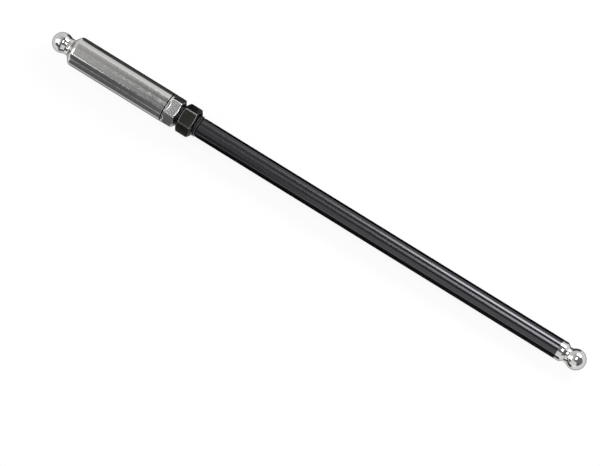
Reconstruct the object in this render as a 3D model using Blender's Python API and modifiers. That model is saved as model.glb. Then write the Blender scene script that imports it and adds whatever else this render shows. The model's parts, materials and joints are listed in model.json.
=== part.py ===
"""Adjustable engine pushrod, lying on a flat surface as it comes to rest.

A round steel sleeve with a ball at its end screws over a black threaded adjuster, which is pressed into a
long black tube. A hexagonal jam nut locks the sleeve. A second ball tip closes the tube's far end. Oil runs
the whole length of the rod, in through one ball and out through the other.

Stations are distances along the rod's axis, from the centre of the upper ball towards the lower one. Each
piece is turned about its own Z axis, which an empty lays along the rod.
"""

import math

import bpy
from mathutils import Vector

MM = 0.001

# Upper ball, its neck and the rounded shoulder behind it.
UPPER_BALL_DIAMETER = 9.7 * MM
UPPER_NECK_DIAMETER = 8.1 * MM
UPPER_NECK_FILLET = 0.8 * MM
SHOULDER_FILLET = 0.5 * MM
SHOULDER_RADIUS = 3.4 * MM
SHOULDER_END_STATION = 8.2 * MM

# Barrel of the sleeve, with the thin groove and land in front of its hexagon.
BARREL_DIAMETER = 14.29 * MM
BARREL_LENGTH = 48.1 * MM
GROOVE_WIDTH = 0.5 * MM
GROOVE_DEPTH = 0.35 * MM
LAND_LENGTH = 0.65 * MM

# Wrench hexagon of the sleeve.
SLEEVE_ACROSS_FLATS = 12.7 * MM
SLEEVE_HEX_LENGTH = 5.7 * MM
SLEEVE_FACE_DIAMETER = 11.66 * MM
SLEEVE_HEX_TURN = math.radians(3.0)
SLEEVE_BORE_DEPTH = 44.0 * MM

# Threaded adjuster. Its thread is a plain cylinder of the thread's outer diameter.
THREAD_DIAMETER = 10.3 * MM
THREAD_CLEARANCE = 0.08 * MM
THREAD_INSIDE_SLEEVE = 27.0 * MM
THREAD_LEAD_IN = 0.6 * MM
THREAD_PAST_NUT = 1.75 * MM
RELIEF_DIAMETER = 8.9 * MM
RELIEF_WIDTH = 0.3 * MM
ADJUSTER_BORE_DIAMETER = 3.2 * MM
ADJUSTER_SHANK_LENGTH = 18.0 * MM

# Jam nut.
NUT_ACROSS_FLATS = 12.7 * MM
NUT_THICKNESS = 7.8 * MM
NUT_FACE_DIAMETER = 12.6 * MM
NUT_HEX_TURN = math.radians(8.5)
NUT_GAP = 0.8 * MM

# Tube.
TUBE_DIAMETER = 9.525 * MM
TUBE_WALL = 1.65 * MM
TUBE_LENGTH = 188.2 * MM
TUBE_CHAMFER = 0.3 * MM

# Lower ball tip.
TIP_COLLAR_LENGTH = 2.5 * MM
TIP_COLLAR_ROUNDING = 1.0 * MM
TIP_BEVEL_LENGTH = 1.3 * MM
TIP_BEVEL_DIAMETER = 7.6 * MM
TIP_BEVEL_FILLET = 0.3 * MM
TIP_NECK_DIAMETER = 7.2 * MM
TIP_NECK_FILLET = 1.5 * MM
TIP_BALL_STATION_FROM_COLLAR = 8.75 * MM
LOWER_BALL_DIAMETER = 9.7 * MM
TIP_SHANK_LENGTH = 12.0 * MM

# Oil holes through the two balls, and what the pieces leave between them.
OIL_HOLE_DIAMETER = 1.8 * MM
SEAT_GAP = 0.3 * MM
SHANK_CLEARANCE = 0.05 * MM

# Facets round each turned piece, and degrees between the points of an arc.
FACETS = 48
ARC_STEP = 8.0
HEX_SIDES = 6
HEX_BLANK_ALLOWANCE = 0.2 * MM
CUTTER_MARGIN = 1.0 * MM

# Radii and stations that follow from the sizes above.
FACET_FACTOR = math.cos(math.pi / FACETS)
BARREL_RADIUS = BARREL_DIAMETER / 2
TUBE_RADIUS = TUBE_DIAMETER / 2
TUBE_BORE_RADIUS = TUBE_RADIUS - TUBE_WALL
THREAD_RADIUS = THREAD_DIAMETER / 2
THREADED_BORE_RADIUS = THREAD_RADIUS + THREAD_CLEARANCE
SHANK_RADIUS = TUBE_BORE_RADIUS - SHANK_CLEARANCE
OIL_HOLE_RADIUS = OIL_HOLE_DIAMETER / 2

BARREL_END = SHOULDER_END_STATION + BARREL_LENGTH
GROOVE_END = BARREL_END + GROOVE_WIDTH
SLEEVE_HEX_START = GROOVE_END + LAND_LENGTH
SLEEVE_END = SLEEVE_HEX_START + SLEEVE_HEX_LENGTH
NUT_START = SLEEVE_END + NUT_GAP
NUT_END = NUT_START + NUT_THICKNESS
THREAD_START = SLEEVE_END - THREAD_INSIDE_SLEEVE
THREAD_END = NUT_END + THREAD_PAST_NUT
RELIEF_END = THREAD_END + RELIEF_WIDTH
TUBE_START = RELIEF_END + SEAT_GAP
TUBE_END = TUBE_START + TUBE_LENGTH
COLLAR_START = TUBE_END + SEAT_GAP
LOWER_BALL_STATION = COLLAR_START + TIP_BALL_STATION_FROM_COLLAR


def arc(centre, radius, start, end):
    """Points (radius, station) of an arc round centre, from angle start to end in degrees, ends included.

    An angle of 0 points away from the rod's axis and 90 points along it.
    """
    count = max(2, math.ceil(abs(end - start) / ARC_STEP))
    angles = [math.radians(start + (end - start) * i / count) for i in range(count + 1)]
    return [(centre[0] + radius * math.cos(a), centre[1] + radius * math.sin(a)) for a in angles]


def rounded(before, corner, after, radius):
    """The corner of an outline rounded by an arc that touches the straight runs on both sides of it."""
    here = Vector(corner)
    back = (Vector(before) - here).normalized()
    on = (Vector(after) - here).normalized()
    half = back.angle(on) / 2
    centre = here + (back + on).normalized() * radius / math.sin(half)
    reach = radius / math.tan(half)
    first = here + back * reach - centre
    last = here + on * reach - centre
    start = math.degrees(math.atan2(first.y, first.x))
    sweep = math.degrees(math.atan2(first.cross(last), first.dot(last)))
    return arc(centre, radius, start, start + sweep)


def neck_fillet(neck_radius, fillet, centre, radius, side):
    """Centre of the fillet between a neck and a round shape, and its angle at the shape in degrees.

    The fillet lies outside both. The round shape is an arc of the given centre and radius, and side is 1
    where the neck runs on past it to higher stations and -1 where it runs to lower ones.
    """
    across = neck_radius + fillet - centre[0]
    along = math.sqrt((radius + fillet) ** 2 - across**2)
    fillet_centre = (neck_radius + fillet, centre[1] + side * along)
    angle = math.degrees(math.atan2(-side * along, -across))
    return fillet_centre, angle


def collection(name):
    made = bpy.data.collections.new(name)
    bpy.context.scene.collection.children.link(made)
    return made


def material(name, colour, roughness, metallic):
    made = bpy.data.materials.new(name)
    made.use_nodes = True
    shader = made.node_tree.nodes["Principled BSDF"]
    shader.inputs["Base Color"].default_value = (*colour, 1.0)
    shader.inputs["Roughness"].default_value = roughness
    shader.inputs["Metallic"].default_value = metallic
    return made


def turned(name, outline, home, steps=FACETS):
    """An object turned about its Z axis from a closed outline of (radius, station) points.

    The outline starts half a facet past the X axis, so that the middle of a facet faces along X.
    """
    mesh = bpy.data.meshes.new(name)
    loop = [(i, (i + 1) % len(outline)) for i in range(len(outline))]
    across = math.cos(math.pi / steps)
    aside = math.sin(math.pi / steps)
    points = [(radius * across, radius * aside, station) for radius, station in outline]
    mesh.from_pydata(points, loop, [])
    made = bpy.data.objects.new(name, mesh)
    home.objects.link(made)
    screw = made.modifiers.new("turn", "SCREW")
    screw.angle = 2 * math.pi
    screw.steps = steps
    screw.render_steps = steps
    screw.use_merge_vertices = True
    screw.merge_threshold = 0.000001
    screw.use_smooth_shade = False
    return made


def finished(made, finish, parent):
    """Applies the modifiers, gives the piece its material and smooth shading, and lays it on the rod."""
    graph = bpy.context.evaluated_depsgraph_get()
    mesh = bpy.data.meshes.new_from_object(made.evaluated_get(graph))
    made.modifiers.clear()
    made.data = mesh
    mesh.name = made.name
    mesh.materials.clear()
    mesh.materials.append(finish)
    mesh.shade_smooth()
    mesh.set_sharp_from_angle(angle=math.radians(30))
    made.parent = parent


def hex_cutter(name, across_flats, start, end, turn, home):
    """A ring with a hexagonal hole, which leaves six flats on what it is cut from.

    The hole's flats face the angle turn, counted about Z from the local X axis, and every 60 degrees on.
    """
    corner = across_flats / 2 / math.cos(math.pi / HEX_SIDES)
    outside = 2 * corner
    outline = [(outside, end), (outside, start), (corner, start), (corner, end)]
    ring = turned(name, outline, home, HEX_SIDES)
    ring.rotation_euler = (0, 0, turn)
    ring.hide_render = True
    ring.display_type = "WIRE"
    return ring


def cut(made, cutter):
    boolean = made.modifiers.new("cut " + cutter.name, "BOOLEAN")
    boolean.operation = "DIFFERENCE"
    boolean.solver = "EXACT"
    boolean.object = cutter


def hex_blank_radius(across_flats):
    return across_flats / 2 / math.cos(math.pi / HEX_SIDES) + HEX_BLANK_ALLOWANCE


def adjuster_sleeve(home, cutters):
    ball_radius = UPPER_BALL_DIAMETER / 2
    neck_radius = UPPER_NECK_DIAMETER / 2
    blank_radius = hex_blank_radius(SLEEVE_ACROSS_FLATS)
    face_radius = SLEEVE_FACE_DIAMETER / 2
    groove_radius = BARREL_RADIUS - GROOVE_DEPTH
    shoulder = (BARREL_RADIUS - SHOULDER_RADIUS, SHOULDER_END_STATION)
    bore_bottom = SLEEVE_END - SLEEVE_BORE_DEPTH
    front, front_angle = neck_fillet(neck_radius, SHOULDER_FILLET, shoulder, SHOULDER_RADIUS, -1)
    back, back_angle = neck_fillet(neck_radius, UPPER_NECK_FILLET, (0, 0), ball_radius, 1)
    hole_angle = math.degrees(math.asin(OIL_HOLE_RADIUS / ball_radius)) - 90
    outline = [
        (face_radius, SLEEVE_END),
        (blank_radius, SLEEVE_END - (blank_radius - face_radius)),
        (blank_radius, SLEEVE_HEX_START),
        (BARREL_RADIUS, SLEEVE_HEX_START),
        (BARREL_RADIUS, GROOVE_END),
        (groove_radius, GROOVE_END),
        (groove_radius, BARREL_END),
        (BARREL_RADIUS, BARREL_END),
    ]
    outline += arc(shoulder, SHOULDER_RADIUS, 0, front_angle - 180)
    outline += arc(front, SHOULDER_FILLET, front_angle, 180)[1:]
    outline += arc(back, UPPER_NECK_FILLET, 180, 360 + back_angle)
    outline += arc((0, 0), ball_radius, 180 + back_angle, hole_angle)[1:]
    outline += [
        (OIL_HOLE_RADIUS, bore_bottom),
        (THREADED_BORE_RADIUS, bore_bottom),
        (THREADED_BORE_RADIUS, SLEEVE_END),
    ]
    sleeve = turned("adjuster_sleeve", outline, home)
    flats_end = SLEEVE_END + CUTTER_MARGIN
    flats = hex_cutter(
        "sleeve_flats", SLEEVE_ACROSS_FLATS, SLEEVE_HEX_START, flats_end, SLEEVE_HEX_TURN, cutters
    )
    cut(sleeve, flats)
    return sleeve


def threaded_adjuster(home):
    bore_radius = ADJUSTER_BORE_DIAMETER / 2
    relief_radius = RELIEF_DIAMETER / 2
    outline = [
        (SHANK_RADIUS, TUBE_START + ADJUSTER_SHANK_LENGTH),
        (SHANK_RADIUS, RELIEF_END),
        (relief_radius, RELIEF_END),
        (relief_radius, THREAD_END),
        (THREAD_RADIUS, THREAD_END),
        (THREAD_RADIUS, THREAD_START + THREAD_LEAD_IN),
        (THREAD_RADIUS - THREAD_LEAD_IN, THREAD_START),
        (bore_radius, THREAD_START),
        (bore_radius, TUBE_START + ADJUSTER_SHANK_LENGTH),
    ]
    return turned("threaded_adjuster", outline, home)


def jam_nut(home, cutters):
    blank_radius = hex_blank_radius(NUT_ACROSS_FLATS)
    face_radius = NUT_FACE_DIAMETER / 2
    chamfer = blank_radius - face_radius
    outline = [
        (face_radius, NUT_END),
        (blank_radius, NUT_END - chamfer),
        (blank_radius, NUT_START + chamfer),
        (face_radius, NUT_START),
        (THREADED_BORE_RADIUS, NUT_START),
        (THREADED_BORE_RADIUS, NUT_END),
    ]
    nut = turned("jam_nut", outline, home)
    start = NUT_START - CUTTER_MARGIN
    end = NUT_END + CUTTER_MARGIN
    cut(nut, hex_cutter("nut_flats", NUT_ACROSS_FLATS, start, end, NUT_HEX_TURN, cutters))
    return nut


def pushrod_tube(home):
    outline = [
        (TUBE_RADIUS, TUBE_END),
        (TUBE_RADIUS, TUBE_START + TUBE_CHAMFER),
        (TUBE_RADIUS - TUBE_CHAMFER, TUBE_START),
        (TUBE_BORE_RADIUS, TUBE_START),
        (TUBE_BORE_RADIUS, TUBE_END),
    ]
    return turned("pushrod_tube", outline, home)


def lower_ball_tip(home):
    ball = (0, LOWER_BALL_STATION)
    ball_radius = LOWER_BALL_DIAMETER / 2
    neck_radius = TIP_NECK_DIAMETER / 2
    bevel_start = COLLAR_START + TIP_COLLAR_LENGTH
    bevel_end = bevel_start + TIP_BEVEL_LENGTH
    bevel_foot = (TIP_BEVEL_DIAMETER / 2, bevel_end)
    neck_top = (neck_radius, bevel_end + (TIP_BEVEL_DIAMETER - TIP_NECK_DIAMETER) / 2)
    collar_edge = (TUBE_RADIUS, bevel_start)
    collar_base = (TUBE_RADIUS, COLLAR_START)
    fillet, angle = neck_fillet(neck_radius, TIP_NECK_FILLET, ball, ball_radius, -1)
    hole_angle = 90 - math.degrees(math.asin(OIL_HOLE_RADIUS / ball_radius))
    outline = arc(ball, ball_radius, hole_angle, angle - 180)
    outline += arc(fillet, TIP_NECK_FILLET, angle, 180)[1:]
    outline += [neck_top]
    outline += rounded(neck_top, bevel_foot, collar_edge, TIP_BEVEL_FILLET)
    outline += rounded(bevel_foot, collar_edge, collar_base, TIP_COLLAR_ROUNDING)
    outline += [
        collar_base,
        (SHANK_RADIUS, COLLAR_START),
        (SHANK_RADIUS, TUBE_END - TIP_SHANK_LENGTH),
        (OIL_HOLE_RADIUS, TUBE_END - TIP_SHANK_LENGTH),
    ]
    return turned("lower_ball_tip", outline, home)


def resting_tilt():
    """Angle by which the axis dips towards the lower ball when the sleeve's land and that ball touch down."""
    land = BARREL_RADIUS * FACET_FACTOR
    ball = LOWER_BALL_DIAMETER / 2 * FACET_FACTOR
    apart = LOWER_BALL_STATION - SLEEVE_HEX_START
    return math.acos(ball / math.hypot(land, apart)) - math.atan2(apart, land)


def rod_axis():
    """An empty at the upper ball's centre, with its Z axis along the rod and the rod touching height zero."""
    tilt = resting_tilt()
    half = LOWER_BALL_STATION * math.cos(tilt) / 2
    ball = LOWER_BALL_DIAMETER / 2 * FACET_FACTOR
    made = bpy.data.objects.new("rod_axis", None)
    bpy.context.scene.collection.objects.link(made)
    made.location = (-half, 0, ball + LOWER_BALL_STATION * math.sin(tilt))
    made.rotation_euler = (0, math.pi / 2 + tilt, 0)
    return made


def main():
    for old in list(bpy.data.objects):
        bpy.data.objects.remove(old, do_unlink=True)
    home = collection("engine_pushrod")
    cutters = collection("cutters")
    bright = material("ground_steel", (0.60, 0.60, 0.60), 0.25, 1.0)
    polished = material("polished_steel", (0.72, 0.72, 0.72), 0.08, 1.0)
    black = material("black_oxide_steel", (0.025, 0.025, 0.028), 0.35, 0.6)
    tube_black = material("satin_black_tube", (0.03, 0.03, 0.034), 0.3, 0.6)
    axis = rod_axis()
    pieces = [
        (adjuster_sleeve(home, cutters), bright),
        (threaded_adjuster(home), black),
        (jam_nut(home, cutters), black),
        (pushrod_tube(home), tube_black),
        (lower_ball_tip(home), polished),
    ]
    for piece, finish in pieces:
        finished(piece, finish, axis)


if __name__ == "__main__":
    main()
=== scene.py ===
"""Looks of the adjustable engine pushrod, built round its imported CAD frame.

Laid out as an add-on and run as a script. Every piece is a surface worked out with numpy: an outline of
(radius, station) rows is carried round the rod's axis, and the rows may change with the angle where a
hexagon is milled. Stations are distances along the axis from the centre of the upper ball.
"""

import json
import math

import bmesh
import bpy
import numpy as np
from bpy.props import FloatProperty, FloatVectorProperty, PointerProperty, StringProperty
from mathutils import Matrix, Vector


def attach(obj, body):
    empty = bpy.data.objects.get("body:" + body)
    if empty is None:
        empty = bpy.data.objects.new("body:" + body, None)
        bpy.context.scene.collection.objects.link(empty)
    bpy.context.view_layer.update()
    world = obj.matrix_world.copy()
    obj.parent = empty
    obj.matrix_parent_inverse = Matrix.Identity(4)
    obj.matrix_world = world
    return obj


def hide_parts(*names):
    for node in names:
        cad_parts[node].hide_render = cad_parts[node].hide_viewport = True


bl_info = {
    "name": "Adjustable Engine Pushrod",
    "version": (1, 0, 0),
    "blender": (4, 5, 0),
    "location": "View3D > Sidebar > Pushrod",
    "description": "Detailed pieces, finishes and a studio for an adjustable engine pushrod",
    "category": "Object",
}

MM = 0.001

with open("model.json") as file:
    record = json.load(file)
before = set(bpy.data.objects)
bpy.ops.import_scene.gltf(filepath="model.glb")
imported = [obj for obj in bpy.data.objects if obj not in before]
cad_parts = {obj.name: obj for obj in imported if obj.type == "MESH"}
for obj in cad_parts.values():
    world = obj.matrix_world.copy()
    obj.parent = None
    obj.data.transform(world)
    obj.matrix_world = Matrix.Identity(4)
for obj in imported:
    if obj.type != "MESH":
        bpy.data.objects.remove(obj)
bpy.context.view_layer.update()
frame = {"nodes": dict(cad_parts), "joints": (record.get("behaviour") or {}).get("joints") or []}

# The rod's own axes: along it towards the lower ball, sideways, and up.
ALONG = -Vector(frame["joints"][0]["axis"]).normalized()
SIDE = Vector((0, 1, 0))
UP = ALONG.cross(SIDE).normalized()

# Points of an arc are this far apart, and pieces are carried round in this many steps.
ARC_STEP = 4.0
TURNED_STEPS = 180
HEX_STEPS_PER_FLAT = 36
HEX_FLATS = 6
EASED_STEPS = 10
# Length of a hexagon's end chamfer for each unit of its height: the cut leans 32 degrees from the face.
CHAMFER_SLOPE = 0.63


def node_points(name):
    mesh = frame["nodes"][name].data
    points = np.zeros(len(mesh.vertices) * 3, np.float32)
    mesh.vertices.foreach_get("co", points)
    return points.reshape(-1, 3).astype(float)


def axis_point():
    """A point on the rod's axis: the middle of the tube's width, height and length."""
    points = node_points("pushrod_tube")
    place = Vector((0, 0, 0))
    for direction in (ALONG, SIDE, UP):
        reach = points @ np.array(direction)
        place += direction * float(reach.min() + reach.max()) / 2
    return place


AXIS_POINT = axis_point()


def reach_along(name):
    """Where a CAD node starts and ends along the axis, counted from AXIS_POINT."""
    reach = (node_points(name) - np.array(AXIS_POINT)) @ np.array(ALONG)
    return float(reach.min()), float(reach.max())


def widest_radius(name, first=0.0, last=1.0):
    """Largest radius of a CAD node between two shares of its length."""
    offset = node_points(name) - np.array(AXIS_POINT)
    reach = offset @ np.array(ALONG)
    radius = np.linalg.norm(offset - np.outer(reach, np.array(ALONG)), axis=1)
    share = (reach - reach.min()) / (reach.max() - reach.min())
    return float(radius[(share >= first) & (share <= last)].max())


BALL_DIAMETER = 9.7 * MM
OIL_HOLE_DIAMETER = 1.8 * MM
BALL_FRONT = math.sqrt((BALL_DIAMETER / 2) ** 2 - (OIL_HOLE_DIAMETER / 2) ** 2)
ZERO_STATION = reach_along("adjuster_sleeve")[0] + BALL_FRONT
ORIGIN = AXIS_POINT + ALONG * ZERO_STATION


def ends(name):
    """Stations of a CAD node's two ends."""
    start, end = reach_along(name)
    return start - ZERO_STATION, end - ZERO_STATION


class SleeveSizes(bpy.types.PropertyGroup):
    ball_diameter: FloatProperty(
        name="Ball diameter", description="Upper ball", default=BALL_DIAMETER, unit="LENGTH"
    )
    neck_diameter: FloatProperty(
        name="Neck diameter", description="Neck behind the ball", default=8.1 * MM, unit="LENGTH"
    )
    neck_fillet: FloatProperty(
        name="Neck fillet", description="Fillet from neck to ball", default=1.4 * MM, unit="LENGTH"
    )
    cone_start: FloatProperty(
        name="Cone start", description="Station where the shoulder's cone meets the neck",
        default=4.73 * MM, unit="LENGTH"
    )
    cone_end: FloatProperty(
        name="Cone end", description="Station where the shoulder's cone meets the barrel",
        default=7.1 * MM, unit="LENGTH"
    )
    cone_fillet: FloatProperty(
        name="Cone fillet", description="Hollow between neck and cone", default=1.25 * MM,
        unit="LENGTH"
    )
    shoulder_rounding: FloatProperty(
        name="Shoulder rounding", description="Rounding between cone and barrel",
        default=1.9 * MM, unit="LENGTH"
    )
    polish_end: FloatProperty(
        name="Polish end", description="Station where the polish ends and the ground barrel starts",
        default=8.1 * MM, unit="LENGTH"
    )
    barrel_diameter: FloatProperty(
        name="Barrel diameter", description="Ground barrel",
        default=2 * widest_radius("adjuster_sleeve", 0.1, 0.5), unit="LENGTH"
    )
    groove_width: FloatProperty(
        name="Groove width", description="Thin groove behind the barrel", default=0.55 * MM,
        unit="LENGTH"
    )
    groove_depth: FloatProperty(
        name="Groove depth", description="Depth of that groove", default=0.55 * MM, unit="LENGTH"
    )
    land_length: FloatProperty(
        name="Land length", description="Round land between groove and hexagon", default=0.65 * MM,
        unit="LENGTH"
    )
    across_flats: FloatProperty(
        name="Across flats", description="Wrench size of the hexagon", default=12.7 * MM,
        unit="LENGTH"
    )
    hex_length: FloatProperty(
        name="Hexagon length", description="Length of the flats", default=5.7 * MM, unit="LENGTH"
    )
    face_diameter: FloatProperty(
        name="Face diameter", description="Flat end face inside the chamfer", default=11.0 * MM,
        unit="LENGTH"
    )
    hex_turn: FloatProperty(
        name="Hexagon turn", description="Lean of the top flat towards the front",
        default=math.radians(3.0), unit="ROTATION"
    )
    corner_rounding: FloatProperty(
        name="Corner rounding", description="Rounding of the hexagon's corners", default=0.9 * MM,
        unit="LENGTH"
    )
    mill_rounding: FloatProperty(
        name="Mill rounding", description="Hollow left by the cutter where a flat ends",
        default=0.7 * MM, unit="LENGTH"
    )
    bore_depth: FloatProperty(
        name="Bore depth", description="Depth of the threaded bore", default=44.0 * MM,
        unit="LENGTH"
    )
    bore_diameter: FloatProperty(
        name="Bore diameter", description="Width of the threaded bore", default=10.46 * MM,
        unit="LENGTH"
    )
    oil_hole: FloatProperty(
        name="Oil hole", description="Hole through the ball", default=OIL_HOLE_DIAMETER,
        unit="LENGTH"
    )


class AdjusterSizes(bpy.types.PropertyGroup):
    thread_diameter: FloatProperty(
        name="Thread diameter", description="Over the crests",
        default=2 * widest_radius("threaded_adjuster"), unit="LENGTH"
    )
    pitch: FloatProperty(
        name="Pitch", description="Distance between crests, 32 to the inch", default=0.794 * MM,
        unit="LENGTH"
    )
    past_nut: FloatProperty(
        name="Thread past nut", description="Thread left between the nut and the relief",
        default=1.75 * MM, unit="LENGTH"
    )
    relief_diameter: FloatProperty(
        name="Relief diameter", description="Thread relief", default=8.9 * MM, unit="LENGTH"
    )
    relief_width: FloatProperty(
        name="Relief width", description="Thread relief", default=0.3 * MM, unit="LENGTH"
    )
    lead_in: FloatProperty(
        name="Lead-in", description="Chamfer at the thread's start", default=0.6 * MM,
        unit="LENGTH"
    )
    shank_diameter: FloatProperty(
        name="Shank diameter", description="Shank inside the tube", default=6.125 * MM,
        unit="LENGTH"
    )
    bore_diameter: FloatProperty(
        name="Bore diameter", description="Oil way", default=3.2 * MM, unit="LENGTH"
    )


class NutSizes(bpy.types.PropertyGroup):
    across_flats: FloatProperty(
        name="Across flats", description="Wrench size", default=12.7 * MM, unit="LENGTH"
    )
    face_diameter: FloatProperty(
        name="Face diameter", description="Flat face inside each chamfer", default=11.0 * MM,
        unit="LENGTH"
    )
    hex_turn: FloatProperty(
        name="Hexagon turn", description="Lean of the top flat towards the front",
        default=math.radians(8.5), unit="ROTATION"
    )
    corner_rounding: FloatProperty(
        name="Corner rounding", description="Rounding of the corners", default=0.9 * MM,
        unit="LENGTH"
    )
    bore_diameter: FloatProperty(
        name="Bore diameter", description="Threaded bore", default=10.46 * MM, unit="LENGTH"
    )
    countersink: FloatProperty(
        name="Countersink", description="Chamfer at each mouth of the bore", default=0.2 * MM,
        unit="LENGTH"
    )


class TubeSizes(bpy.types.PropertyGroup):
    diameter: FloatProperty(
        name="Diameter", description="Outside", default=2 * widest_radius("pushrod_tube"),
        unit="LENGTH"
    )
    wall: FloatProperty(name="Wall", description="Thickness", default=1.65 * MM, unit="LENGTH")
    chamfer: FloatProperty(
        name="Chamfer", description="At the adjuster's end", default=0.3 * MM, unit="LENGTH"
    )
    seat_gap: FloatProperty(
        name="Seat gap", description="Gap that the CAD tube leaves at each end", default=0.3 * MM,
        unit="LENGTH"
    )


class TipSizes(bpy.types.PropertyGroup):
    ball_diameter: FloatProperty(
        name="Ball diameter", description="Lower ball", default=BALL_DIAMETER, unit="LENGTH"
    )
    ball_from_collar: FloatProperty(
        name="Ball from collar", description="From the collar's face to the ball's centre",
        default=8.75 * MM, unit="LENGTH"
    )
    collar_length: FloatProperty(
        name="Collar length", description="Straight collar", default=2.5 * MM, unit="LENGTH"
    )
    collar_rounding: FloatProperty(
        name="Collar rounding", description="From collar to bevel", default=1.0 * MM,
        unit="LENGTH"
    )
    bevel_length: FloatProperty(
        name="Bevel length", description="Bevel behind the collar", default=1.3 * MM,
        unit="LENGTH"
    )
    bevel_diameter: FloatProperty(
        name="Bevel diameter", description="Small end of the bevel", default=7.6 * MM,
        unit="LENGTH"
    )
    bevel_fillet: FloatProperty(
        name="Bevel fillet", description="From bevel to neck", default=0.3 * MM, unit="LENGTH"
    )
    neck_diameter: FloatProperty(
        name="Neck diameter", description="Narrowest part", default=7.2 * MM, unit="LENGTH"
    )
    neck_fillet: FloatProperty(
        name="Neck fillet", description="From neck to ball", default=1.5 * MM, unit="LENGTH"
    )
    oil_hole: FloatProperty(
        name="Oil hole", description="Hole through the ball", default=OIL_HOLE_DIAMETER,
        unit="LENGTH"
    )


class FinishColours(bpy.types.PropertyGroup):
    ground_steel: StringProperty(
        name="Ground steel", description="Barrel and hexagon, sRGB hex", default="#CCCBC9"
    )
    polished_steel: StringProperty(
        name="Polished steel", description="Balls and shoulder, sRGB hex", default="#D0CFCD"
    )
    black_oxide: StringProperty(
        name="Black oxide", description="Nut and adjuster, sRGB hex", default="#333431"
    )
    black_tube: StringProperty(
        name="Black tube", description="Satin black tube, sRGB hex", default="#4A4A4D"
    )
    floor: StringProperty(name="Floor", description="Floor, sRGB hex", default="#F4F4F4")


class StudioSettings(bpy.types.PropertyGroup):
    lens: FloatProperty(
        name="Lens", description="Focal length on a 36 mm sensor, in millimetres", default=198.0
    )
    distance: FloatProperty(
        name="Distance", description="Camera to the point it looks at", default=1.4738,
        unit="LENGTH"
    )
    elevation: FloatProperty(
        name="Elevation", description="Camera above the floor", default=math.radians(75.69),
        unit="ROTATION"
    )
    heading: FloatProperty(
        name="Heading", description="Camera turned from straight across the rod",
        default=math.radians(32.46), unit="ROTATION"
    )
    target: FloatVectorProperty(
        name="Target", description="Point at the picture's centre",
        default=(1.7 * MM, -16.3 * MM, 2.8 * MM), subtype="TRANSLATION", unit="LENGTH"
    )


class PushrodSettings(bpy.types.PropertyGroup):
    sleeve: PointerProperty(type=SleeveSizes)
    adjuster: PointerProperty(type=AdjusterSizes)
    nut: PointerProperty(type=NutSizes)
    tube: PointerProperty(type=TubeSizes)
    tip: PointerProperty(type=TipSizes)
    colours: PointerProperty(type=FinishColours)
    studio: PointerProperty(type=StudioSettings)


def arc(centre, radius, start, end):
    """Corners of an arc: its centre plus radius times (cosine, sine) of each angle, in degrees.

    An angle of 0 points away from the rod's axis and 90 points along it.
    """
    count = max(3, math.ceil(abs(end - start) / ARC_STEP))
    angles = np.radians(np.linspace(start, end, count + 1))
    radii = centre[0] + radius * np.cos(angles)
    stations = centre[1] + radius * np.sin(angles)
    return [(r, s, 0.0) for r, s in zip(radii, stations)]


def neck_fillet(neck_radius, fillet, centre, radius, side):
    """Centre of the fillet between a neck and a round shape, and its angle at the shape in degrees.

    Both circles touch, so their centres are the sum of their radii apart. Side is 1 where the neck runs on
    past the shape to higher stations and -1 where it runs to lower ones.
    """
    across = neck_radius + fillet - centre[0]
    along = math.sqrt((radius + fillet) ** 2 - across**2)
    angle = math.degrees(math.atan2(-side * along, -across))
    return (neck_radius + fillet, centre[1] + side * along), angle


def unit(vectors):
    length = np.linalg.norm(vectors, axis=-1, keepdims=True)
    return vectors / np.maximum(length, 1e-12)


def eased(corners, count):
    """Rows of (radius, station) round a closed outline whose corners are rounded.

    Each corner is (radius, station, rounding), as numbers or as arrays of one value for each angle. A
    rounded corner becomes an arc that touches both straight runs: its centre lies on the corner's bisector,
    the rounding over the sine of the half angle away.
    """
    points = np.zeros((len(corners), count, 2))
    for row, (radius, station, _) in enumerate(corners):
        points[row, :, 0] = radius
        points[row, :, 1] = station
    rows = []
    for row, (_, _, rounding) in enumerate(corners):
        here = points[row]
        if np.max(rounding) <= 0:
            rows.append(here)
            continue
        amount = np.broadcast_to(np.asarray(rounding, float), (count,))[:, None]
        back = unit(points[row - 1] - here)
        on = unit(points[(row + 1) % len(corners)] - here)
        half = np.arccos(np.clip((back * on).sum(-1, keepdims=True), -1, 1)) / 2
        centre = here + unit(back + on) * amount / np.sin(half)
        first = here + back * amount / np.tan(half) - centre
        last = here + on * amount / np.tan(half) - centre
        cross = first[:, 0] * last[:, 1] - first[:, 1] * last[:, 0]
        sweep = np.arctan2(cross, (first * last).sum(-1))
        for share in np.linspace(0, 1, EASED_STEPS + 1):
            c, s = np.cos(sweep * share), np.sin(sweep * share)
            turned = np.stack([first[:, 0] * c - first[:, 1] * s, first[:, 0] * s + first[:, 1] * c], -1)
            rows.append(centre + turned)
    return np.array(rows)


def painted_light_rows(corners, painted_light):
    """Painted light of each row of an eased outline: a corner's start, middle and end values, spread over
    its arc.
    """
    rows = []
    for (_, _, rounding), values in zip(corners, painted_light):
        if np.max(rounding) <= 0:
            rows.append(values[1])
        else:
            rows.extend(np.interp(np.linspace(0, 1, EASED_STEPS + 1), (0, 0.5, 1), values))
    return np.array(rows)


def turned_angles():
    return np.linspace(0, 2 * math.pi, TURNED_STEPS, endpoint=False)


def hex_angles(turn):
    """Angles round a hexagon, closer together near its corners: each flat runs as the sine of its share."""
    share = np.linspace(-1, 1, HEX_STEPS_PER_FLAT, endpoint=False)
    within = math.radians(30) * np.sin(math.pi / 2 * share)
    flats = turn + np.arange(HEX_FLATS) * math.radians(60)
    return (flats[:, None] + within[None, :]).ravel()


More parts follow.
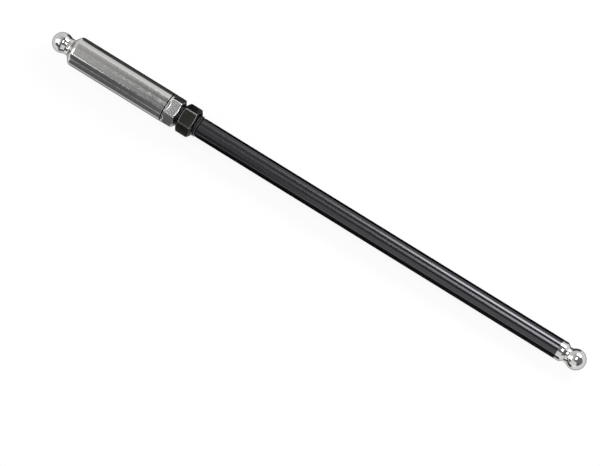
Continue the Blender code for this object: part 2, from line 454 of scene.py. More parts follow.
def hex_radius(angles, across_flats, turn, rounding):
    """Radius of a hexagon with rounded corners at each angle.

    On a flat it is half the width over the cosine of the angle from that flat. Near a corner it is the
    far side of a circle of the rounding, which touches both flats.
    """
    half = across_flats / 2
    sixth = math.radians(60)
    from_flat = np.abs((angles - turn + sixth / 2) % sixth - sixth / 2)
    flat = half / np.cos(from_flat)
    centre = (half - rounding) / math.cos(sixth / 2)
    from_corner = sixth / 2 - from_flat
    inside = rounding**2 - (centre * np.sin(from_corner)) ** 2
    corner = centre * np.cos(from_corner) + np.sqrt(np.maximum(inside, 0))
    touch = math.atan((half - rounding) * math.tan(sixth / 2) / half)
    return np.where(from_flat > touch, corner, flat)


def corner_highlight(angles, across_flats, turn, rounding):
    """Share of the painted highlight on a hexagon's corner, from 0 on a flat to 1 at the middle of a corner:
    the cosine of the way across its rounding.
    """
    sixth = math.radians(60)
    from_flat = np.abs((angles - turn + sixth / 2) % sixth - sixth / 2)
    touch = math.atan((across_flats / 2 - rounding) * math.tan(sixth / 2) * 2 / across_flats)
    way = (sixth / 2 - from_flat) / (sixth / 2 - touch)
    return np.cos(math.pi / 2 * np.clip(way, 0, 1))


def placed(radius, station, angle):
    """Row-frame points: the origin, the station along the axis, and the radius at an angle from up."""
    out = np.cos(angle)[..., None] * np.array(UP) - np.sin(angle)[..., None] * np.array(SIDE)
    along = station[..., None] * np.array(ALONG)
    return np.array(ORIGIN) + along + radius[..., None] * out


def ring_quads(rows, columns):
    """Corner indices of the quads of a grid whose rows and columns both close on themselves."""
    index = np.arange(rows * columns).reshape(rows, columns)
    below = np.roll(index, -1, 0)
    quads = np.stack([index, below, np.roll(below, -1, 1), np.roll(index, -1, 1)], -1)
    return quads.reshape(-1, 4)


def object_from(name, points, quads, materials, slots=None):
    """A smooth-shaded object from points and quads, linked to the scene, with its place in its mesh."""
    mesh = bpy.data.meshes.new(name)
    mesh.from_pydata(points.reshape(-1, 3), [], quads)
    for one in materials:
        mesh.materials.append(one)
    if slots is not None:
        mesh.polygons.foreach_set("material_index", slots)
    mesh.shade_smooth()
    made = bpy.data.objects.new(name, mesh)
    bpy.context.scene.collection.objects.link(made)
    return made


def set_painted_light(made, painted_light):
    """Stores each point's painted light: 1 for a painted highlight along an edge, and -1 for painted shade.
    """
    layer = made.data.attributes.new("painted_light", "FLOAT", "POINT")
    layer.data.foreach_set("value", np.ascontiguousarray(painted_light, np.float32).ravel())


def carried_round(name, corners, angles, materials, slot_of=None, painted_light=None):
    """An object whose outline is carried round the axis: one row of points for each outline point.

    Its UV map has millimetres along the outline as U and millimetres round the tube as V.
    """
    count = len(angles)
    rows = eased(corners, count)
    points = placed(rows[..., 0], rows[..., 1], np.broadcast_to(angles, rows.shape[:2]))
    quads = ring_quads(len(rows), count)
    slots = None
    if slot_of is not None:
        middle = (rows[:, 0, 1] + np.roll(rows[:, 0, 1], -1)) / 2
        slots = np.repeat(slot_of(middle), count).astype(np.int32)
    made = object_from(name, points, quads, materials, slots)
    steps = np.linalg.norm(np.roll(rows[:, 0], -1, 0) - rows[:, 0], axis=1)
    along = np.concatenate([[0], np.cumsum(steps)]) / MM
    spread = np.append(angles, angles[0] + 2 * math.pi) * UV_RADIUS / MM
    corners_uv = np.zeros((len(rows), count, 4, 2), np.float32)
    corners_uv[:, :, 0, 0] = corners_uv[:, :, 3, 0] = along[:-1, None]
    corners_uv[:, :, 1, 0] = corners_uv[:, :, 2, 0] = along[1:, None]
    corners_uv[:, :, 0, 1] = corners_uv[:, :, 1, 1] = spread[None, :-1]
    corners_uv[:, :, 2, 1] = corners_uv[:, :, 3, 1] = spread[None, 1:]
    layer = made.data.uv_layers.new(name="along_round")
    layer.data.foreach_set("uv", corners_uv.ravel())
    made.data.set_sharp_from_angle(angle=math.radians(30))
    if painted_light is not None:
        set_painted_light(made, np.broadcast_to(painted_light, rows.shape[:2]))
    return made


UV_RADIUS = widest_radius("pushrod_tube")


def linear(colour):
    """Linear red, green, blue and alpha of an sRGB hex colour, by the sRGB curve."""
    channels = np.array([int(colour[i : i + 2], 16) for i in (1, 3, 5)]) / 255
    curve = np.where(channels <= 0.04045, channels / 12.92, ((channels + 0.055) / 1.055) ** 2.4)
    return (*curve, 1.0)


def add(tree, kind, inputs=None, **settings):
    """Adds a node with its settings. An input given a socket is linked to it, and any other is set."""
    made = tree.nodes.new(kind)
    for key, value in settings.items():
        setattr(made, key, value)
    for key, value in (inputs or {}).items():
        if isinstance(value, bpy.types.NodeSocket):
            tree.links.new(value, made.inputs[key])
        else:
            made.inputs[key].default_value = value
    return made


def new_material(name):
    made = bpy.data.materials.new(name)
    made.use_nodes = True
    made.node_tree.nodes.clear()
    return made, made.node_tree


def rod_coordinates(tree):
    """Object coordinates in millimetres along, across and above the rod's axis."""
    turn = Matrix((ALONG, SIDE, UP)).to_euler()
    coordinates = add(tree, "ShaderNodeTexCoord")
    moved = add(
        tree, "ShaderNodeVectorMath",
        {0: coordinates.outputs["Object"], 1: tuple(ORIGIN)}, operation="SUBTRACT"
    )
    return add(
        tree, "ShaderNodeMapping",
        {"Vector": moved.outputs[0], "Rotation": turn, "Scale": (1 / MM, 1 / MM, 1 / MM)}
    ).outputs[0]


def with_painted_light(tree, colour, bright, dark):
    """A colour mixed towards a bright one for a painted highlight, and towards a dark one for painted shade.
    """
    painted_light = add(tree, "ShaderNodeAttribute", attribute_name="painted_light").outputs["Fac"]
    painted_highlight = add(
        tree, "ShaderNodeMix", {0: painted_light, 6: colour, 7: linear(bright)}, data_type="RGBA"
    ).outputs[2]
    painted_shade = add(tree, "ShaderNodeMath", {0: painted_light, 1: -1.0}, operation="MULTIPLY")
    return add(
        tree, "ShaderNodeMix", {0: painted_shade.outputs[0], 6: painted_highlight, 7: linear(dark)}, data_type="RGBA"
    ).outputs[2]


def ground_steel(name, colours):
    """Centreless-ground steel: the wheel leaves fine rings round it, so reflections spread along the rod
    and stay crisp across it."""
    made, tree = new_material(name)
    rod = rod_coordinates(tree)
    # Grinding rings about 0.12 mm apart, with a slow drift every few millimetres.
    fine = add(tree, "ShaderNodeVectorMath", {0: rod, 1: (8.0, 0.25, 0.25)}, operation="MULTIPLY")
    rings = add(tree, "ShaderNodeTexNoise", {"Vector": fine.outputs[0], "Scale": 1.0, "Detail": 3.0})
    slow = add(tree, "ShaderNodeVectorMath", {0: rod, 1: (0.35, 0.12, 0.12)}, operation="MULTIPLY")
    drift = add(tree, "ShaderNodeTexNoise", {"Vector": slow.outputs[0], "Scale": 1.0, "Detail": 2.0})
    base = linear(colours.ground_steel)
    darker = tuple(0.88 * c for c in base[:3]) + (1.0,)
    colour = add(
        tree, "ShaderNodeMix", {0: rings.outputs["Fac"], 6: darker, 7: base}, data_type="RGBA"
    )
    rough = add(
        tree, "ShaderNodeMapRange",
        {"Value": drift.outputs["Fac"], "From Min": 0.3, "From Max": 0.7, "To Min": 0.1, "To Max": 0.13}
    )
    bump = add(
        tree, "ShaderNodeBump",
        {"Height": rings.outputs["Fac"], "Strength": 0.1, "Distance": 0.004 * MM}
    )
    tangent = add(tree, "ShaderNodeTangent", direction_type="UV_MAP", uv_map="along_round")
    # Base colour lifted towards a painted highlight on bright edge lines and lowered towards painted shade
    # in the groove and steps.
    shader = add(
        tree, "ShaderNodeBsdfPrincipled",
        {
            "Base Color": with_painted_light(tree, colour.outputs[2], "#F8F8FA", "#161414"), "Metallic": 1.0,
            "Roughness": rough.outputs[0], "Anisotropic": 1.0, "Tangent": tangent.outputs[0],
            "Normal": bump.outputs[0], "Specular Tint": (0.2, 0.2, 0.2, 1.0),
        }
    )
    add(tree, "ShaderNodeOutputMaterial", {"Surface": shader.outputs[0]})
    return made


def polished_steel(name, colours):
    """Buffed steel: close to a mirror, with a faint haze and hairlines left by the buffing wheel."""
    made, tree = new_material(name)
    rod = rod_coordinates(tree)
    stretched = add(tree, "ShaderNodeVectorMath", {0: rod, 1: (5.0, 0.6, 0.6)}, operation="MULTIPLY")
    lines = add(tree, "ShaderNodeTexNoise", {"Vector": stretched.outputs[0], "Scale": 1.0, "Detail": 3.0})
    haze = add(
        tree, "ShaderNodeMapRange",
        {"Value": lines.outputs["Fac"], "From Min": 0.35, "From Max": 0.7, "To Min": 0.05, "To Max": 0.1}
    )
    shader = add(
        tree, "ShaderNodeBsdfPrincipled",
        {
            "Base Color": linear(colours.polished_steel), "Metallic": 1.0,
            "Roughness": haze.outputs[0], "Specular Tint": (0.35, 0.35, 0.35, 1.0),
        }
    )
    add(tree, "ShaderNodeOutputMaterial", {"Surface": shader.outputs[0]})
    return made


def black_oxide(name, colours):
    """Machined steel turned black in a hot oxide bath: a dark conversion skin with an oily sheen."""
    made, tree = new_material(name)
    rod = rod_coordinates(tree)
    cloud = add(tree, "ShaderNodeTexNoise", {"Vector": rod, "Scale": 0.8, "Detail": 4.0})
    base = linear(colours.black_oxide)
    browner = (base[0] * 1.15, base[1] * 1.1, base[2] * 0.95, 1.0)
    colour = add(
        tree, "ShaderNodeMix", {0: cloud.outputs["Fac"], 6: base, 7: browner}, data_type="RGBA"
    )
    rough = add(
        tree, "ShaderNodeMapRange",
        {"Value": cloud.outputs["Fac"], "From Min": 0.3, "From Max": 0.7, "To Min": 0.24, "To Max": 0.36}
    )
    grain = add(tree, "ShaderNodeTexNoise", {"Vector": rod, "Scale": 14.0, "Detail": 2.0})
    bump = add(
        tree, "ShaderNodeBump",
        {"Height": grain.outputs["Fac"], "Strength": 0.2, "Distance": 0.01 * MM}
    )
    # Base colour lifted towards a painted highlight on corners and thread crests, and lowered towards
    # painted shade in the thread roots.
    shader = add(
        tree, "ShaderNodeBsdfPrincipled",
        {
            "Base Color": with_painted_light(tree, colour.outputs[2], "#A2A3A8", "#0C0C0C"), "Metallic": 1.0,
            "Roughness": rough.outputs[0], "Normal": bump.outputs[0], "Specular Tint": (0.6, 0.6, 0.6, 1.0),
        }
    )
    add(tree, "ShaderNodeOutputMaterial", {"Surface": shader.outputs[0]})
    return made


def black_tube(name, colours):
    """Polished tube with a black finish: fine rings round it draw each lamp out into a stripe along it."""
    made, tree = new_material(name)
    rod = rod_coordinates(tree)
    fine = add(tree, "ShaderNodeVectorMath", {0: rod, 1: (6.0, 0.3, 0.3)}, operation="MULTIPLY")
    rings = add(tree, "ShaderNodeTexNoise", {"Vector": fine.outputs[0], "Scale": 1.0, "Detail": 3.0})
    rough = add(
        tree, "ShaderNodeMapRange",
        {"Value": rings.outputs["Fac"], "From Min": 0.3, "From Max": 0.7, "To Min": 0.14, "To Max": 0.19}
    )
    tangent = add(tree, "ShaderNodeTangent", direction_type="UV_MAP", uv_map="along_round")
    # Base colour lifted towards a painted highlight on the chamfer at the adjuster's end.
    shader = add(
        tree, "ShaderNodeBsdfPrincipled",
        {
            "Base Color": with_painted_light(tree, linear(colours.black_tube), "#A0A1A6", "#101010"), "Metallic": 1.0,
            "Roughness": rough.outputs[0], "Anisotropic": 0.95, "Tangent": tangent.outputs[0],
            "Specular Tint": (0.0, 0.0, 0.0, 1.0),
        }
    )
    add(tree, "ShaderNodeOutputMaterial", {"Surface": shader.outputs[0]})
    return made


def material(maker, context):
    """The finish made by that function, made once and then shared by the pieces."""
    names = {ground_steel: "centreless_ground_steel", polished_steel: "buffed_steel",
             black_oxide: "hot_black_oxide_steel", black_tube: "satin_black_tube"}
    found = bpy.data.materials.get(names[maker])
    return found or maker(names[maker], context.scene.pushrod.colours)


class PUSHROD_OT_sleeve(bpy.types.Operator):
    """Builds the adjuster sleeve: ball, shoulder, barrel, groove and wrench hexagon."""

    bl_idname = "pushrod.sleeve"
    bl_label = "Adjuster Sleeve"

    def execute(self, context):
        sizes = context.scene.pushrod.sleeve
        end = ends("adjuster_sleeve")[1]
        angles = hex_angles(sizes.hex_turn)
        flat = hex_radius(angles, sizes.across_flats, sizes.hex_turn, sizes.corner_rounding)
        barrel = sizes.barrel_diameter / 2
        groove = barrel - sizes.groove_depth
        face = sizes.face_diameter / 2
        bore = sizes.bore_diameter / 2
        hole = sizes.oil_hole / 2
        ball = sizes.ball_diameter / 2
        neck = sizes.neck_diameter / 2
        hex_start = end - sizes.hex_length
        groove_end = hex_start - sizes.land_length
        barrel_end = groove_end - sizes.groove_width
        bore_bottom = end - sizes.bore_depth
        wall = np.abs(barrel - flat)
        back, back_angle = neck_fillet(neck, sizes.neck_fillet, (0, 0), ball, 1)
        hole_angle = math.degrees(math.asin(hole / ball)) - 90
        corners = [
            (face, end, 0.08 * MM),
            (flat, end - CHAMFER_SLOPE * (flat - face), 0.5 * MM),
            (flat, hex_start, np.minimum(sizes.mill_rounding, 0.85 * wall)),
            (barrel, hex_start, np.minimum(0.05 * MM, 0.1 * wall)),
            (barrel, groove_end, 0.06 * MM),
            (groove, groove_end, 0.06 * MM),
            (groove, barrel_end, 0.06 * MM),
            (barrel, barrel_end, 0.06 * MM),
            (barrel, sizes.polish_end, 0.0),
            (barrel, sizes.cone_end, sizes.shoulder_rounding),
            (neck, sizes.cone_start, sizes.cone_fillet),
        ]
        corners += arc(back, sizes.neck_fillet, 180, 360 + back_angle)
        corners += arc((0, 0), ball, 180 + back_angle, hole_angle)[1:]
        corners += [
            (hole, bore_bottom, 0.0),
            (bore, bore_bottom, 0.0),
            (bore, end - 0.2 * MM, 0.0),
            (bore + 0.2 * MM, end, 0.0),
        ]
        # Painted highlight: bright lines on the face's edge, the chamfer's edge and the land. Painted shade:
        # darker in the groove and on the flats' steps.
        plain = (0, 0, 0)
        painted_light = [
            (0, 0.3, 0), (0, 1, 0), (0, 0.8, -1), (-1, 0, 0.4), (0.4, 0.5, -1), (-1, -1, -1),
            (-1, -1, -1), (-1, 0.2, 0),
        ]
        painted_light = painted_light_rows(corners, painted_light + [plain] * (len(corners) - len(painted_light)))
        # Painted highlight along the chamfer's edge and the hexagon's six corners.
        flats = painted_light_rows(corners, [plain, (1, 1, 1), (1, 0, 0)] + [plain] * (len(corners) - 3))
        edges = corner_highlight(angles, sizes.across_flats, sizes.hex_turn, sizes.corner_rounding)
        finishes = [material(ground_steel, context), material(polished_steel, context)]
        made = carried_round(
            "sleeve", corners, angles, finishes, lambda station: station < sizes.polish_end,
            np.minimum(painted_light[:, None] + flats[:, None] * edges[None, :], 1)
        )
        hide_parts("adjuster_sleeve")
        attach(made, "sleeve")
        return {"FINISHED"}


# One pitch of the thread: share of the pitch, and share of its depth there. Flanks lean 30 degrees.
THREAD_SHARES = np.array([0.0, 0.09, 0.15, 0.415, 0.45, 0.5, 0.55, 0.585, 0.85, 0.91])
THREAD_HEIGHTS = np.array([0.0, 0.0, 0.07, 0.94, 1.0, 1.0, 1.0, 0.94, 0.07, 0.0])
THREAD_DEPTH_PER_PITCH = 0.613
THREAD_STEPS = 96


def thread_points(crest, pitch, start, end, lead_in):
    """Points and quads of a right-hand thread: one pitch's profile carried along a helix.

    Step k lies at the angle of k steps and one pitch further along for each turn. Its last profile point is
    the first one a turn later, so the turns join. Stations are held between start and end, and the radius
    under a cone at the start and under the root's radius outside the thread, so both ends close to rings.
    """
    depth = THREAD_DEPTH_PER_PITCH * pitch
    turns = math.ceil((end - start) / pitch) + 2
    steps = turns * THREAD_STEPS
    step = np.arange(steps + THREAD_STEPS + 1)
    angle = 2 * math.pi * (step % THREAD_STEPS) / THREAD_STEPS
    place = start - pitch + pitch * step / THREAD_STEPS
    station = place[:, None] + pitch * THREAD_SHARES[None, :]
    radius = np.broadcast_to(crest - depth * (1 - THREAD_HEIGHTS), station.shape)
    cone = crest - lead_in + (station - start)
    ring = np.where((station <= start) | (station >= end), crest - lead_in, radius)
    radius = np.minimum(ring, np.maximum(cone, crest - lead_in))
    station = np.clip(station, start, end)
    points = placed(radius, station, np.broadcast_to(angle[:, None], station.shape))
    profile = len(THREAD_SHARES)
    index = np.arange(steps * profile).reshape(steps, profile)
    across = index + 1
    across[:, -1] = index[:, 0] + THREAD_STEPS * profile
    # Quads run from higher stations to lower ones and then round, so that they face outwards.
    quads = np.stack([across, index, index + profile, across + profile], -1)
    return points, quads.reshape(-1, 4)


class PUSHROD_OT_adjuster(bpy.types.Operator):
    """Builds the threaded adjuster with its real thread, relief and shank."""

    bl_idname = "pushrod.adjuster"
    bl_label = "Threaded Adjuster"

    def execute(self, context):
        sizes = context.scene.pushrod.adjuster
        start, shank_end = ends("threaded_adjuster")
        crest = sizes.thread_diameter / 2
        thread_end = ends("jam_nut")[1] + sizes.past_nut
        relief = sizes.relief_diameter / 2
        relief_end = thread_end + sizes.relief_width
        shank = sizes.shank_diameter / 2
        bore = sizes.bore_diameter / 2
        foot = crest - sizes.lead_in
        points, quads = thread_points(crest, sizes.pitch, start, thread_end, sizes.lead_in)
        angles = np.linspace(0, 2 * math.pi, THREAD_STEPS, endpoint=False)
        corners = [
            (foot, start, 0.0),
            (bore, start, 0.0),
            (bore, shank_end, 0.0),
            (shank, shank_end, 0.0),
            (shank, relief_end, 0.0),
            (relief, relief_end, 0.0),
            (relief, thread_end, 0.0),
            (foot, thread_end, 0.0),
        ]
        rows = eased(corners, THREAD_STEPS)
        rest = placed(rows[..., 0], rows[..., 1], np.broadcast_to(angles, rows.shape[:2]))
        rest_quads = ring_quads(len(rows), THREAD_STEPS)[: -THREAD_STEPS]
        joined = np.concatenate([points.reshape(-1, 3), rest.reshape(-1, 3)])
        all_quads = np.concatenate([quads, rest_quads + len(points.reshape(-1, 3))])
        made = object_from("adjuster", joined, all_quads, [material(black_oxide, context)])
        # Painted highlight on the thread's crests and painted shade in its roots.
        crests = np.tile(0.95 * THREAD_HEIGHTS - 0.3, len(points))
        set_painted_light(made, np.concatenate([crests, np.zeros(len(joined) - len(crests))]))
        loose = bmesh.new()
        loose.from_mesh(made.data)
        bmesh.ops.remove_doubles(loose, verts=loose.verts, dist=0.0005 * MM)
        bmesh.ops.dissolve_degenerate(loose, edges=loose.edges, dist=0.0005 * MM)
        loose.to_mesh(made.data)
        loose.free()
        made.data.set_sharp_from_angle(angle=math.radians(40))
        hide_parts("threaded_adjuster")
        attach(made, "pushrod_body")
        return {"FINISHED"}


class PUSHROD_OT_nut(bpy.types.Operator):
    """Builds the jam nut with chamfered ends and eased corners."""

    bl_idname = "pushrod.nut"
    bl_label = "Jam Nut"

    def execute(self, context):
        sizes = context.scene.pushrod.nut
        start, end = ends("jam_nut")
        angles = hex_angles(sizes.hex_turn)
        flat = hex_radius(angles, sizes.across_flats, sizes.hex_turn, sizes.corner_rounding)
        face = sizes.face_diameter / 2
        bore = sizes.bore_diameter / 2
        sink = sizes.countersink
        chamfer = CHAMFER_SLOPE * (flat - face)
        corners = [
            (face, end, 0.06 * MM),
            (flat, end - chamfer, 0.4 * MM),
            (flat, start + chamfer, 0.4 * MM),
            (face, start, 0.06 * MM),
            (bore + sink, start, 0.05 * MM),
            (bore, start + sink, 0.0),
            (bore, end - sink, 0.0),
            (bore + sink, end, 0.05 * MM),
        ]
        # Painted highlight: the edges of both faces, both chamfers and the six corners. The far side's
        # corners get a brighter painted highlight, a glint that the soft boxes don't give there.
        face_edge, plain = (0, 0.3, 0), (0, 0, 0)
        painted_light = painted_light_rows(corners, [face_edge, (0, 0.9, 0), (0, 0.55, 0), face_edge] + [plain] * 4)
        flats = painted_light_rows(corners, [plain, (1, 1, 1), (1, 1, 1)] + [plain] * 5)
        edges = corner_highlight(angles, sizes.across_flats, sizes.hex_turn, sizes.corner_rounding)
        edges = edges * (0.8 - 0.6 * np.sin(angles))
        made = carried_round(
            "nut", corners, angles, [material(black_oxide, context)],
            painted_light=np.minimum(painted_light[:, None] + flats[:, None] * edges[None, :], 1)
        )
        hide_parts("jam_nut")
        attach(made, "nut")
        return {"FINISHED"}


class PUSHROD_OT_tube(bpy.types.Operator):
    """Builds the tube, which closes the small gaps that the CAD leaves at its ends."""

    bl_idname = "pushrod.tube"
    bl_label = "Tube"

    def execute(self, context):
        sizes = context.scene.pushrod.tube
        start, end = ends("pushrod_tube")
        start -= 0.95 * sizes.seat_gap
        end += 0.95 * sizes.seat_gap
        radius = sizes.diameter / 2
        bore = radius - sizes.wall
        corners = [
            (radius, end, 0.03 * MM),
            (radius, start + sizes.chamfer, 0.06 * MM),
            (radius - sizes.chamfer, start, 0.03 * MM),
            (bore, start, 0.0),
            (bore, end, 0.0),
        ]
        # Painted highlight: the chamfer at the adjuster's end.
        painted_light = painted_light_rows(corners, [(0, 0, 0), (0, 1, 0.5), (0.5, 0.2, 0), (0, 0, 0), (0, 0, 0)])
        made = carried_round(
            "tube", corners, turned_angles(), [material(black_tube, context)], painted_light=painted_light[:, None]
        )
        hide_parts("pushrod_tube")
        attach(made, "pushrod_body")
        return {"FINISHED"}


class PUSHROD_OT_tip(bpy.types.Operator):
    """Builds the lower ball tip: collar, bevel, neck and ball, with its shank in the tube."""

    bl_idname = "pushrod.tip"
    bl_label = "Lower Ball Tip"

    def execute(self, context):
        sizes = context.scene.pushrod.tip
        shank_start, front = ends("lower_ball_tip")
        ball = sizes.ball_diameter / 2
        hole = sizes.oil_hole / 2
        centre = (0, front - math.sqrt(ball**2 - hole**2))
        collar_start = centre[1] - sizes.ball_from_collar
        collar = context.scene.pushrod.tube.diameter / 2
        neck = sizes.neck_diameter / 2
        bevel = sizes.bevel_diameter / 2
        bevel_start = collar_start + sizes.collar_length
        bevel_end = bevel_start + sizes.bevel_length
        shank = context.scene.pushrod.adjuster.shank_diameter / 2
        fillet, angle = neck_fillet(neck, sizes.neck_fillet, centre, ball, -1)
        hole_angle = 90 - math.degrees(math.asin(hole / ball))
        corners = arc(centre, ball, hole_angle, angle - 180)
        corners += arc(fillet, sizes.neck_fillet, angle, 180)[1:]
        corners += [
            (neck, bevel_end + bevel - neck, 0.05 * MM),
            (bevel, bevel_end, sizes.bevel_fillet),
            (collar, bevel_start, sizes.collar_rounding),
            (collar, collar_start, 0.04 * MM),
            (shank, collar_start, 0.0),
            (shank, shank_start, 0.0),
            (hole, shank_start, 0.0),
        ]
        made = carried_round("lower_tip", corners, turned_angles(), [material(polished_steel, context)])
        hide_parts("lower_ball_tip")
        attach(made, "pushrod_body")
        return {"FINISHED"}


def lamp(name, place, size, radiance, towards=(0, 0, 0)):
    """A soft box that the camera doesn't see: its power is its radiance times pi times its area."""
    data = bpy.data.lights.new(name, "AREA")
    data.shape = "RECTANGLE"
    data.size, data.size_y = size
    data.energy = radiance * math.pi * size[0] * size[1]
    made = bpy.data.objects.new(name, data)
    made.location = place
    made.rotation_euler = (Vector(place) - Vector(towards)).to_track_quat("Z", "Y").to_euler()
    made.visible_camera = False
    bpy.context.scene.collection.objects.link(made)


def black_card(name, first, last, lean, rise, colour):
    """A dark card on the floor, as photographers lay beside bright metal: it shows only in the metal, as
    the dark line along each edge.

    It runs between two corners. Its side away from the rod is moved along by the lean, because the metal's
    mirror image of the floor runs off to the left, and is lifted by the rise.
    """
    (x0, y0), (x1, y1) = first, last
    made_of, tree = new_material(name)
    shader = add(tree, "ShaderNodeBsdfDiffuse", {"Color": linear(colour)})
    add(tree, "ShaderNodeOutputMaterial", {"Surface": shader.outputs[0]})
    near, far = 0.2 * MM, 0.2 * MM + rise
    corners = [(x0, y0, near), (x1, y0, near), (x1 + lean, y1, far), (x0 + lean, y1, far)]
    card = object_from(name, np.array(corners[:: 1 if y1 > y0 else -1]), np.array([(0, 1, 2, 3)]), [made_of])
    card.visible_camera = card.visible_diffuse = card.visible_shadow = False


def side_of(tree, direction, normal, softness):
    """Share from 0 to 1 of how far a direction lies past the plane with that normal."""
    height = add(
        tree, "ShaderNodeVectorMath", {0: direction, 1: normal}, operation="DOT_PRODUCT"
    )
    return add(
        tree, "ShaderNodeMapRange",
        {"Value": height.outputs["Value"], "From Min": -softness, "From Max": softness},
        interpolation_type="SMOOTHSTEP"
    ).outputs[0]


def studio_world():
    """A tent with a grey roof that is lighter on the left, a white wall behind the rod that runs on round
    its left end, a dark opening in front, and a pale foot all round."""
    world = bpy.data.worlds.new("studio")
    bpy.context.scene.world = world
    world.use_nodes = True
    tree = world.node_tree
    tree.nodes.clear()
    direction = add(tree, "ShaderNodeTexCoord").outputs["Generated"]
    wall_top, front_top, roof_turn = math.radians(50.5), math.radians(40), math.radians(-8.7)
    wall = side_of(tree, direction, (0, math.cos(wall_top), -math.sin(wall_top)), 0.015)
    left = side_of(tree, direction, (-math.cos(front_top), 0, -math.sin(front_top)), 0.06)
    front = side_of(tree, direction, (0, -math.cos(front_top), -math.sin(front_top)), 0.08)
    roof_left = side_of(tree, direction, (-math.cos(roof_turn), 0, math.sin(roof_turn)), 0.03)
    foot = add(
        tree, "ShaderNodeMapRange",
        {"Value": add(tree, "ShaderNodeSeparateXYZ", {0: direction}).outputs["Z"], "From Min": 0.085,
         "From Max": 0.065}
    ).outputs[0]
    colour = linear("#7C7C7E")
    for share, shade in (
        (roof_left, "#CACACA"), (wall, "#FFFFFF"), (left, "#E8E8E8"), (front, "#646468"), (foot, "#FAFAFA"),
    ):
        colour = add(
            tree, "ShaderNodeMix", {0: share, 6: colour, 7: linear(shade)}, data_type="RGBA"
        ).outputs[2]
    background = add(tree, "ShaderNodeBackground", {"Color": colour, "Strength": 1.0})
    add(tree, "ShaderNodeOutputWorld", {"Surface": background.outputs[0]})


def floor_paper(colours):
    """Matt white paper: it keeps the rod's shadow, and is lifted to white where it is seen or mirrored."""
    made, tree = new_material("white_paper")
    path = add(tree, "ShaderNodeLightPath").outputs
    seen = add(
        tree, "ShaderNodeMath",
        {0: path["Is Camera Ray"], 1: path["Is Glossy Ray"]}, operation="MAXIMUM"
    )
    seen = add(
        tree, "ShaderNodeMath",
        {0: seen.outputs[0], 1: path["Is Transmission Ray"]}, operation="MAXIMUM"
    )
    share = add(tree, "ShaderNodeMath", {0: seen.outputs[0], 1: 0.9}, operation="MULTIPLY")
    paper = add(
        tree, "ShaderNodeBsdfPrincipled",
        {"Base Color": linear(colours.floor), "Roughness": 0.9, "Specular IOR Level": 0.2}
    )
    white = add(tree, "ShaderNodeEmission", {"Color": (1, 1, 1, 1), "Strength": 1.0})
    mixed = add(
        tree, "ShaderNodeMixShader", {0: share.outputs[0], 1: paper.outputs[0], 2: white.outputs[0]}
    )
    add(tree, "ShaderNodeOutputMaterial", {"Surface": mixed.outputs[0]})
    return made


def photo_camera(studio):
    """Camera at the photograph's viewing angle: back from its target, along its elevation and heading."""
    turn, rise = studio.heading, studio.elevation
    right = Vector((math.cos(turn), math.sin(turn), 0))
    forward = Vector((-math.sin(turn), math.cos(turn), 0))
    up = forward * math.sin(rise) + Vector((0, 0, math.cos(rise)))
    back = right.cross(up)
    data = bpy.data.cameras.new("camera")
    data.sensor_width = 36.0
    data.lens = studio.lens
    made = bpy.data.objects.new("camera", data)
    made.matrix_world = Matrix.Translation(Vector(studio.target) + back * studio.distance) @ (
        Matrix((right, up, back)).transposed().to_4x4()
    )
    bpy.context.scene.collection.objects.link(made)
    bpy.context.scene.camera = made


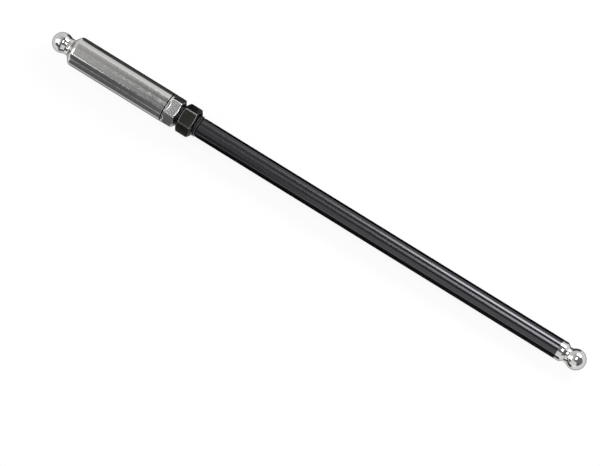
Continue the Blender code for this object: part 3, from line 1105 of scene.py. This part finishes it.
class PUSHROD_OT_stage(bpy.types.Operator):
    """Builds the floor, the tent, the soft boxes, the dark cards and the camera."""

    bl_idname = "pushrod.stage"
    bl_label = "Studio"

    def execute(self, context):
        settings = context.scene.pushrod
        half = 3.0
        points = np.array([(-half, -half, 0), (half, -half, 0), (half, half, 0), (-half, half, 0)])
        floor = object_from("floor", points, np.array([(0, 1, 2, 3)]), [floor_paper(settings.colours)])
        lamp("box_behind", (0.255, 0.44, 0.40), (0.5, 0.22), 9.0, (0.255, 0, 0))
        lamp("box_above", (0.25, 0.0, 2.0), (0.84, 0.36), 7.0)
        lamp("box_right", (0.2, 0.03, 0.42), (0.12, 0.1), 4.0, (-0.07, 0, 0))
        lamp("box_left", (-0.74, -0.26, 0.5), (0.5, 0.9), 1.6, (-0.1, 0, 0))
        lamp("strip_left", (-0.40, -0.455, 0.48), (0.3, 0.1), 3.0, (-0.12, 0, 0))
        lamp("panel_front", (0.15, -0.33, 0.225), (0.44, 0.44), 0.8, (0.15, 0, 0.225))
        black_card("card_behind_barrel", (-0.135, 0.004), (-0.066, 0.2), -0.03, 0.014, "#505050")
        black_card("card_behind_tube", (-0.066, 0.004), (0.136, 0.2), -0.005, 0, "#505050")
        black_card("card_before_barrel", (-0.135, -0.017), (-0.066, -0.5), -0.1, 0.042, "#686868")
        black_card("card_before_tube", (-0.066, -0.012), (0.136, -0.5), -0.015, 0, "#484848")
        studio_world()
        photo_camera(settings.studio)
        context.scene.view_settings.view_transform = "Standard"
        return {"FINISHED"}


class PUSHROD_PT_panel(bpy.types.Panel):
    bl_label = "Engine Pushrod"
    bl_idname = "PUSHROD_PT_panel"
    bl_space_type = "VIEW_3D"
    bl_region_type = "UI"
    bl_category = "Pushrod"

    def draw(self, context):
        column = self.layout.column()
        for operator in OPERATORS:
            column.operator(operator.bl_idname)


GROUPS = (
    SleeveSizes, AdjusterSizes, NutSizes, TubeSizes, TipSizes, FinishColours, StudioSettings,
    PushrodSettings,
)
OPERATORS = (
    PUSHROD_OT_sleeve, PUSHROD_OT_adjuster, PUSHROD_OT_nut, PUSHROD_OT_tube, PUSHROD_OT_tip,
    PUSHROD_OT_stage,
)


def register():
    for one in (*GROUPS, *OPERATORS, PUSHROD_PT_panel):
        bpy.utils.register_class(one)
    bpy.types.Scene.pushrod = PointerProperty(type=PushrodSettings)


def unregister():
    del bpy.types.Scene.pushrod
    for one in reversed((*GROUPS, *OPERATORS, PUSHROD_PT_panel)):
        bpy.utils.unregister_class(one)


def main():
    register()
    bpy.ops.pushrod.sleeve()
    bpy.ops.pushrod.adjuster()
    bpy.ops.pushrod.nut()
    bpy.ops.pushrod.tube()
    bpy.ops.pushrod.tip()
    bpy.ops.pushrod.stage()


if __name__ == "__main__":
    main()
